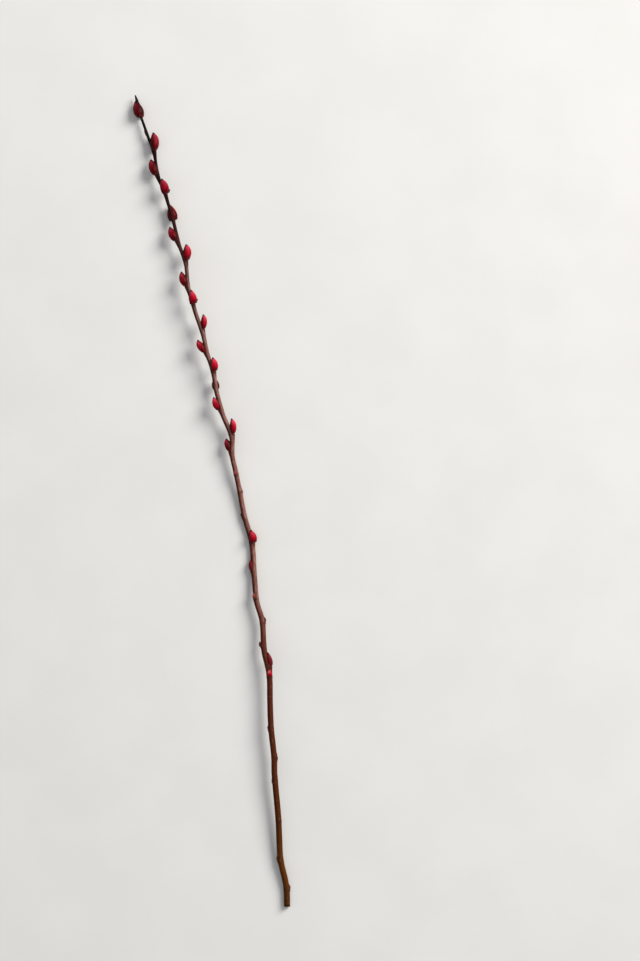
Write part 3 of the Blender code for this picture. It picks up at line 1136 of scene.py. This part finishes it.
    def middle(self, bud: Bud, places: Array, share: Array, out: Array) -> Array:
        """The middle line of a bud, which leaves the stem's along a curve.

        Args:
            bud: The bud.
            places: How far along the stem each ring is.
            share: How far along the bud each ring is, in a column.
            out: The bud's outward direction at each ring.

        Returns:
            The middle of each ring, measured from the cut end.
        """
        foot = min(float(self.line.radius(bud.along)) + self.foot_extra, bud.stand_off)
        foot = foot if bud.foot is None else bud.foot
        swing = 1.0 - (1.0 - np.clip(share, 0.0, 1.0)) ** self.stand_off_curve
        return self.line.middle(places) + out * (foot + (bud.stand_off - foot) * swing)

    def colours(self, bud: Bud, share: Array, angle: Array, lit: Array) -> Masks:
        """Where each of a scale's colours lies.

        Args:
            bud: The bud.
            share: Places along it, in a column.
            angle: Places around it, in a row.
            lit: How far each place faces the light.

        Returns:
            A mask for each colour.
        """
        outward = sine(angle)
        # The face mask is darker towards the scale's edges and the side against the stem, partly its own
        # deeper red and partly painted shade, and darker on the side away from the light, as painted shade.
        # The pinkish patch near the top on the lit side is a painted highlight.
        painted_light_share = 0.4 + 0.6 * rise(-0.3, 0.8, lit)
        off_foot = 0.3 + 0.7 * rise(0.0, 0.4, share)
        pale_patch = hump(turn_from(self.pale_patch_side, angle), 0.0, self.pale_patch_spread)
        pale_patch = pale_patch * hump(share, self.pale_patch_place, self.pale_patch_reach)
        return {
            "face": rise(-0.9, 1.0, outward) * painted_light_share * off_foot,
            "painted_highlight": rise(-0.9, 0.6, outward) * rise(0.0, 0.8, lit) * rise(0.4, 0.8, share),
            "beak": rise(0.81, 0.93, share),
            "foot": 1.0 - rise(-0.01, 0.07, share),
            "dull": float(bud.kind is BudKind.DULL),
            "pale": (bud.kind in (BudKind.SWOLLEN, BudKind.RUBBED)) * pale_patch,
            # Partly painted shade and partly the darker young buds, by each bud's tone
            "shade": np.clip(1.15 - bud.tone, 0.0, 1.0),
        }

    def build(self, bud: Bud, number: int, material: Material) -> Piece:
        """Makes one bud.

        Args:
            bud: Where it is, and its size and state.
            number: Its number, which also seeds its own small differences.
            material: Its finish.

        Returns:
            The piece.
        """
        draw = np.random.default_rng(number)
        share, angle = self.shares(), round_way(self.sides)
        along = bud.along + share * bud.length
        swell = self.swell(bud, share, angle, draw)
        half_width = 0.5 * self.width * bud.length * bud.plump * self.width_run.at(share)
        half_thickness = 0.5 * self.thickness * bud.length * bud.plump * self.thickness_run.at(share)
        lean = draw.uniform(-1.0, 1.0) * self.lean_share * bud.length * rise(*self.lean_run, share)
        hook = self.hook * bud.length * rise(*self.hook_run, share) ** 2
        at_ears = hump(share, 0.0, self.droop_reach) * np.abs(cosine(angle)) ** 3
        sideways = half_width * cosine(angle) * swell + lean
        outwards = half_thickness * sine(angle) * swell - hook
        lengthwise = -self.ear_droop * bud.length * at_ears
        out, side, forward = self.ways(bud, along[:, 0])
        middle = self.middle(bud, along[:, 0], share, out)
        points = swept(middle, (side, sideways), (out, outwards), (forward, lengthwise))
        # How far each place faces the light, which paints light and shade into the scale's colour
        painted_light = np.array(self.painted_light) / np.linalg.norm(self.painted_light)
        lit = (side @ painted_light)[:, None] * cosine(angle) + (out @ painted_light)[:, None] * sine(angle)
        masks = {
            "scale_place": together(sideways, outwards, along),
            "run": along / self.line.length,
            **self.colours(bud, share, angle, lit),
        }
        piece = closed_tube(f"{self.name}_{number:02d}", self.line.placed(points), masks, sharp=75.0)
        return dress(piece, material)


@dataclass(frozen=True)
class CutEnd:
    """The cut wood inside the bark's rim, with its pith sunk a little and the marks of the blade."""

    line: StemLine
    sides: int = 64
    face_rings: int = 22
    # The innermost ring's share of the face's radius
    face_start: float = 0.04
    bark_thickness: float = 0.6
    plug_depth: float = 1.2
    pith_edge: Pair = (0.54, 0.828)
    pith_depth: float = 0.22
    blade_mark: float = 0.022
    blade_spacing: float = 0.62
    blade_turn: float = 0.35
    edge_width: float = 0.25
    edge_rounding: float = 0.12

    def build(self, material: Material) -> Piece:
        """Makes the cut face and the short plug of wood behind it.

        Args:
            material: Its finish.

        Returns:
            The piece.
        """
        at_cut = np.zeros(1)
        whole_radius = float(self.line.radius(0.0)) - self.bark_thickness
        shares = np.linspace(self.face_start, 1.0, self.face_rings)
        radius = np.concatenate((whole_radius * shares, [whole_radius]))[:, None]
        is_face = np.concatenate((np.ones(self.face_rings), [0.0]))[:, None]
        along = self.plug_depth * (1.0 - is_face)
        around = round_way(self.sides)
        across, above = radius * cosine(around), radius * sine(around)
        blade = across / self.blade_spacing * 2.0 * math.pi + self.blade_turn * above
        marks = self.blade_mark * np.sin(blade)
        pith = self.pith_depth * (1.0 - rise(*self.pith_edge, radius))
        rounding = self.edge_rounding * rise(whole_radius - self.edge_width, whole_radius, radius)
        inwards = along + is_face * (marks + pith + rounding) + self.line.lean(along, above)
        right, forward, up = self.line.frames(at_cut)
        points = swept(self.line.middle(at_cut), (right, across), (up, above), (forward, inwards))
        masks = {
            "ray_place": together(cosine(around), sine(around), radius),
            "run": radius / whole_radius,
        }
        wood = closed_tube("cut_wood", self.line.placed(points), masks, sharp=50.0)
        return dress(wood, material)


@dataclass(frozen=True)
class DryTip:
    """The thin dry end of the shoot, which stands past the end bud."""

    line: StemLine
    # How far along, how far aside, how high, and the radius there
    course: tuple[tuple[float, float, float, float], ...] = (
        (879.0, 2.0, 5.6, 1.5),
        (882.0, 2.2, 5.6, 1.7),
        (888.0, 1.9, 5.7, 1.8),
        (893.0, 0.9, 5.8, 1.75),
        (897.0, 0.35, 5.8, 1.35),
        (899.4, 0.05, 5.7, 0.85),
        (900.5, 0.0, 5.7, 0.45),
        (900.66, 0.0, 5.7, 0.1),
    )
    sides: int = 28
    rings: int = 60
    ridges: int = 5
    ridge_height: float = 0.13
    twist: float = 0.16
    pinch: float = 0.06
    pinch_run: float = 0.9

    def build(self, material: Material) -> Piece:
        """Makes the dry tip.

        Args:
            material: Its finish.

        Returns:
            The piece.
        """
        places, *runs = zip(*self.course)
        along = np.linspace(places[0], places[-1], self.rings)[:, None]
        aside, height, radius = (SmoothCurve(tuple(zip(places, run))).at(along) for run in runs)
        around = np.radians(round_way(self.sides))
        shrivel = 1.0 + self.ridge_height * np.sin(self.ridges * around + self.twist * along)
        shrivel = shrivel + self.pinch * np.sin(along / self.pinch_run) - self.ridge_height
        across = radius * shrivel * np.cos(around)
        above = radius * shrivel * np.sin(around)
        points = together(aside + across, along, height + above)
        masks = {"stem_place": together(across, above, along)}
        return dress(closed_tube("dry_tip", self.line.placed(points), masks, sharp=70.0), material)


@dataclass(frozen=True)
class Studio:
    """A pale floor, soft light from the upper right of the picture, and a camera that looks straight down.

    Lengths here are in metres, except the lens and the sensor.
    """

    picture_height: float = 1.0464
    lens: float = 85.0
    sensor: float = 36.0
    aim: Pair = (0.1023, 0.0007)
    aim_height: float = 0.008
    roll: float = 10.59
    floor_size: float = 14.0
    # The key light's bearing in the picture, from its right, and its height in degrees
    key_bearing: float = 40.0
    key_rise: float = 33.0
    key_distance: float = 5.4
    key_size: float = 3.0
    key_power: float = 348.0
    key_colour: Colour = (1.0, 0.985, 0.96)
    sky: Colour = (0.93, 0.95, 1.0)
    sky_strength: float = 0.435

    def build(self, material: Material) -> None:
        """Makes the floor, the light and the camera."""
        self.lay_floor(material)
        self.light()
        self.set_camera()

    def lay_floor(self, material: Material) -> None:
        """Makes the floor."""
        half = self.floor_size / 2.0
        corners = [(-half, -half, 0.0), (half, -half, 0.0), (half, half, 0.0), (-half, half, 0.0)]
        mesh = bpy.data.meshes.new("floor")
        mesh.from_pydata(corners, [], [(0, 1, 2, 3)])
        mesh.materials.append(material)
        floor = put("floor", mesh)

    def light(self) -> None:
        """Makes the broad, soft key light and the pale surroundings."""
        lamp = bpy.data.lights.new("key", "AREA")
        lamp.shape = "DISK"
        lamp.size = self.key_size
        lamp.energy = self.key_power
        lamp.color = self.key_colour
        bearing, lift = math.radians(self.key_bearing - self.roll), math.radians(self.key_rise)
        level = math.cos(lift)
        way = Vector((math.cos(bearing) * level, math.sin(bearing) * level, math.sin(lift)))
        key = put("key", lamp)
        key.location = Vector((*self.aim, 0.0)) + way * self.key_distance
        key.rotation_euler = way.to_track_quat("Z", "Y").to_euler()
        key.visible_camera = False
        world = bpy.data.worlds.new("surroundings")
        world.use_nodes = True
        background = world.node_tree.nodes["Background"]
        background.inputs["Color"].default_value = (*self.sky, 1.0)
        background.inputs["Strength"].default_value = self.sky_strength
        bpy.context.scene.world = world
        bpy.context.scene.view_settings.view_transform = "Standard"

    def set_camera(self) -> None:
        """Makes the camera, over the middle of the picture."""
        distance = self.picture_height * self.lens / self.sensor
        lens = bpy.data.cameras.new("camera")
        lens.lens = self.lens
        lens.sensor_width = self.sensor
        camera = put("camera", lens)
        camera.location = (*self.aim, self.aim_height + distance)
        camera.rotation_euler = (0.0, 0.0, -math.radians(self.roll))
        bpy.context.scene.camera = camera


@dataclass(frozen=True)
class WillowTwig:
    """The whole twig."""

    line: StemLine = field(default_factory=StemLine)

    def build(self, effects: SharedEffects) -> None:
        """Builds and dresses every piece of the twig."""
        BarkSkin(self.line).build(BarkFinish().material(effects))
        full = BudShape(self.line, "bud_scale", "bud_scale")
        dormant = BudShape(
            self.line, "dormant_bud", "bark", sides=32, foot_rings=8, body_rings=14, beak_rings=8,
            keel_height=0.08, ear_height=0.04, pleat_height=0.03, pale_patch_spread=80.0, pale_patch_reach=0.4,
        )
        for shape, buds, finish in (
            (full, RED_BUDS, BudScaleFinish()),
            (dormant, DORMANT_BUDS, DormantBudFinish()),
        ):
            material = finish.material(effects)
            for number, bud in enumerate(buds, start=1):
                shape.build(bud, number, material)
        CutEnd(self.line).build(CutWoodFinish().material(effects))
        DryTip(self.line).build(DryTipFinish().material(effects))


def main() -> None:
    """Builds the twig and the studio round it."""
    logging.basicConfig(level=logging.INFO, format="%(name)s: %(message)s")
    effects = SharedEffects()
    WillowTwig().build(effects)
    Studio().build(FloorFinish().material(effects))


if __name__ == "__main__":
    main()
